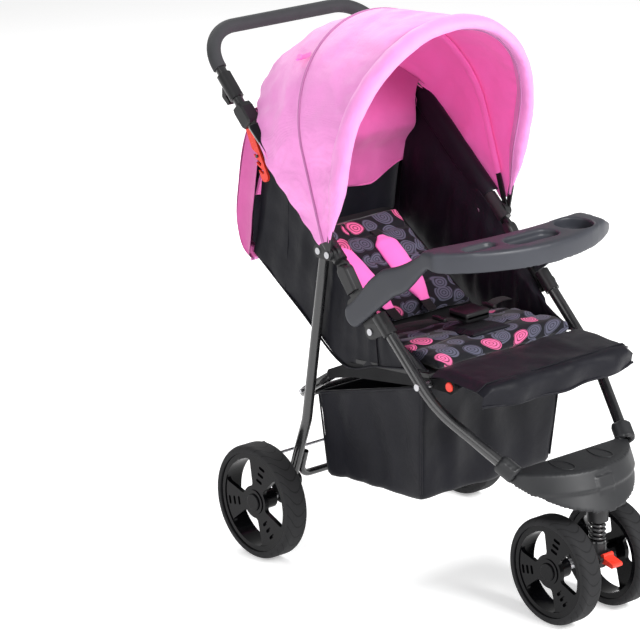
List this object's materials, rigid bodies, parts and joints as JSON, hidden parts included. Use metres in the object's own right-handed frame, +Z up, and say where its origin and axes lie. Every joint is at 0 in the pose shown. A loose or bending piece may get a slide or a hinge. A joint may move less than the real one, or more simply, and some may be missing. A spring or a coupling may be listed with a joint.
{
  "type": "folding baby stroller",
  "caption": "Three-point folding baby stroller with U handle, sprung twin-wheel swivel caster, reclining padded seat, play tray, cloth basket and swing-back sun canopy.",
  "frame": {"origin": "on the floor, under the middle of the overall box", "axes": "+Z up, -Y the way the child faces and the stroller rolls, +X the child's left"},
  "size_m": [0.564, 0.9522, 1.0576],
  "materials": {
    "frame_black": "gloss black enamel on steel tube",
    "steel": "bright rivets and axles",
    "spring_steel": "black coated wire",
    "black_plastic": "moulded, fine grain",
    "footrest_plastic": "moulded charcoal, fine grain",
    "tray_plastic": "moulded charcoal, soft sheen",
    "red_plastic": "moulded",
    "rim_plastic": "polished moulding",
    "tyre": "foam rubber, moulded tread",
    "foam_grip": "foamed, matt",
    "pink_canopy": "woven polyester, plain weave",
    "pink_lining": "woven polyester, plain weave",
    "black_cloth": "woven polyester, plain weave",
    "printed_cloth": "woven polyester with a scattered print"
  },
  "bodies": {
    "upper_frame": {"handle_bar": "frame_black", "handle_grip": "foam_grip", "handle_tubes": "frame_black", "handle_sockets": "black_plastic", "recline_racks": "red_plastic", "frame_hub_left": "black_plastic", "frame_hub_right": "black_plastic", "armrest_brackets": "black_plastic", "frame_rivets": "steel", "side_panels": "black_cloth", "head_panel": "black_cloth", "rear_flap": "pink_lining", "canopy_rear_panel": "pink_canopy"},
    "front_legs": {"front_leg_left": "frame_black", "front_leg_right": "frame_black", "front_leg_blocks": "black_plastic", "front_leg_rivets": "steel", "footrest": "footrest_plastic", "caster_housing": "black_plastic", "caster_spring": "spring_steel"},
    "rear_legs": {"rear_leg_left": "frame_black", "rear_leg_right": "frame_black", "rear_axle_brackets": "black_plastic", "rear_axles": "steel", "rear_cross_tube": "frame_black"},
    "seat_frame": {"seat_support_tube": "frame_black", "seat_side_bars": "frame_black", "seat_board": "black_plastic", "seat_pad": "printed_cloth", "crotch_pad": "black_cloth", "basket": "black_cloth"},
    "seat_hinge": {"seat_hinge_plates": "black_plastic"},
    "backrest": {"backrest_board": "black_plastic", "backrest_pad": "printed_cloth", "shoulder_pads": "pink_lining"},
    "legrest": {"legrest_panel": "black_cloth"},
    "legrest_button_left": {"legrest_button_left": "red_plastic"},
    "legrest_button_right": {"legrest_button_right": "red_plastic"},
    "canopy_mid": {"canopy_mid_bow": "black_plastic", "canopy_front_panel": "pink_canopy"},
    "canopy_front": {"canopy_front_bow": "black_plastic", "canopy_brim": "pink_canopy"},
    "tray": {"tray": "tray_plastic"},
    "lock_sleeve_left": {"lock_sleeve_left": "black_plastic"},
    "lock_sleeve_right": {"lock_sleeve_right": "black_plastic"},
    "recline_rod": {"recline_rod": "frame_black"},
    "caster_stem": {"caster_stem": "frame_black"},
    "caster_fork": {"caster_fork": "black_plastic", "front_axle": "steel"},
    "swivel_lock": {"swivel_lock_lever": "red_plastic"},
    "front_wheel_left": {"front_wheel_rim_left": "rim_plastic", "front_wheel_tyre_left": "tyre"},
    "front_wheel_right": {"front_wheel_rim_right": "rim_plastic", "front_wheel_tyre_right": "tyre"},
    "rear_wheel_left": {"rear_wheel_rim_left": "rim_plastic", "rear_wheel_tyre_left": "tyre"},
    "rear_wheel_right": {"rear_wheel_rim_right": "rim_plastic", "rear_wheel_tyre_right": "tyre"},
    "brake": {"brake_pedals": "black_plastic", "brake_rod": "steel"}
  },
  "joints": [
    {"name": "fold", "type": "hinge", "parent": "upper_frame", "child": "front_legs", "pos_m": [0, -0.03109, 0.5], "axis": [1, 0, 0], "range_deg": [0, 143], "deforming": ["side_panels", "head_panel", "rear_flap", "basket"]},
    {"name": "rear_leg_fold", "type": "hinge", "parent": "upper_frame", "child": "rear_legs", "pos_m": [0, 0.11291, 0.622], "axis": [1, 0, 0], "range_deg": [0, 90.5], "deforming": ["side_panels", "head_panel", "rear_flap", "basket"]},
    {"name": "seat_fold", "type": "hinge", "parent": "front_legs", "child": "seat_frame", "pos_m": [0, -0.16109, 0.427], "axis": [1, 0, 0], "range_deg": [-89.4, 0], "deforming": ["side_panels", "head_panel", "rear_flap", "basket"]},
    {"name": "back_fold", "type": "hinge", "parent": "seat_frame", "child": "seat_hinge", "pos_m": [0, 0.05891, 0.391], "axis": [1, 0, 0], "range_deg": [-38.8, 0], "deforming": ["side_panels", "head_panel", "rear_flap", "basket"]},
    {"name": "recline", "type": "hinge", "parent": "seat_hinge", "child": "backrest", "pos_m": [0, 0.07091, 0.412], "axis": [1, 0, 0], "range_deg": [-6, 0], "deforming": ["side_panels", "head_panel"]},
    {"name": "legrest_tilt", "type": "hinge", "parent": "seat_frame", "child": "legrest", "pos_m": [0, -0.21709, 0.436], "axis": [1, 0, 0], "range_deg": [0, 40]},
    {"name": "legrest_press_left", "type": "slide", "parent": "seat_frame", "child": "legrest_button_left", "axis": [-1, 0, 0], "range_m": [0, 0.0035], "stiffness_N_per_m": 600},
    {"name": "legrest_press_right", "type": "slide", "parent": "seat_frame", "child": "legrest_button_right", "axis": [1, 0, 0], "range_m": [0, 0.0035], "stiffness_N_per_m": 600},
    {"name": "canopy_mid_swing", "type": "hinge", "parent": "upper_frame", "child": "canopy_mid", "pos_m": [0, 0.07082, 0.62595], "axis": [1, 0, 0], "range_deg": [-24, 0], "deforming": ["canopy_rear_panel", "canopy_front_panel"]},
    {"name": "canopy_front_swing", "type": "hinge", "parent": "canopy_mid", "child": "canopy_front", "pos_m": [0, 0.07082, 0.62595], "axis": [1, 0, 0], "range_deg": [-15, 0], "deforming": ["canopy_front_panel"]},
    {"name": "tray_slide", "type": "slide", "parent": "upper_frame", "child": "tray", "axis": [0, -0.788, 0.6157], "range_m": [0, 0.06]},
    {"name": "sleeve_slide_left", "type": "slide", "parent": "upper_frame", "child": "lock_sleeve_left", "axis": [0, 0.7193, 0.6947], "range_m": [0, 0.012], "stiffness_N_per_m": 250},
    {"name": "sleeve_slide_right", "type": "slide", "parent": "upper_frame", "child": "lock_sleeve_right", "axis": [0, 0.7193, 0.6947], "range_m": [0, 0.012], "stiffness_N_per_m": 250},
    {"name": "rod_lift", "type": "slide", "parent": "upper_frame", "child": "recline_rod", "axis": [0, 0.9063, 0.4226], "range_m": [0, 0.02], "deforming": ["head_panel", "side_panels"]},
    {"name": "caster_spring_travel", "type": "slide", "parent": "front_legs", "child": "caster_stem", "axis": [0, 0, 1], "range_m": [0, 0.012], "stiffness_N_per_m": 4000, "springref_m": -0.02, "deforming": ["caster_spring"]},
    {"name": "caster_swivel", "type": "hinge", "parent": "caster_stem", "child": "caster_fork", "pos_m": [0, -0.41109, 0.12], "axis": [0, 0, 1], "continuous": true},
    {"name": "swivel_lock_flip", "type": "hinge", "parent": "caster_fork", "child": "swivel_lock", "pos_m": [0, -0.43509, 0.122], "axis": [1, 0, 0], "range_deg": [-25, 0]},
    {"name": "front_wheel_left_spin", "type": "hinge", "parent": "caster_fork", "child": "front_wheel_left", "pos_m": [0.07, -0.37509, 0.101], "axis": [1, 0, 0], "continuous": true},
    {"name": "front_wheel_right_spin", "type": "hinge", "parent": "caster_fork", "child": "front_wheel_right", "pos_m": [-0.07, -0.37509, 0.101], "axis": [1, 0, 0], "continuous": true},
    {"name": "rear_wheel_left_spin", "type": "hinge", "parent": "rear_legs", "child": "rear_wheel_left", "pos_m": [0.259, 0.23091, 0.111], "axis": [1, 0, 0], "continuous": true},
    {"name": "rear_wheel_right_spin", "type": "hinge", "parent": "rear_legs", "child": "rear_wheel_right", "pos_m": [-0.259, 0.23091, 0.111], "axis": [1, 0, 0], "continuous": true},
    {"name": "brake_press", "type": "hinge", "parent": "rear_legs", "child": "brake", "pos_m": [0, 0.23091, 0.111], "axis": [1, 0, 0], "range_deg": [-18, 0]}
  ],
  "couplings": [
    {"joint": "rear_leg_fold", "follows": "fold", "ratio": 0.63115},
    {"joint": "seat_fold", "follows": "fold", "ratio": -0.62325},
    {"joint": "back_fold", "follows": "fold", "ratio": -0.27},
    {"joint": "canopy_front_swing", "follows": "canopy_mid_swing", "ratio": 0.625}
  ]
}
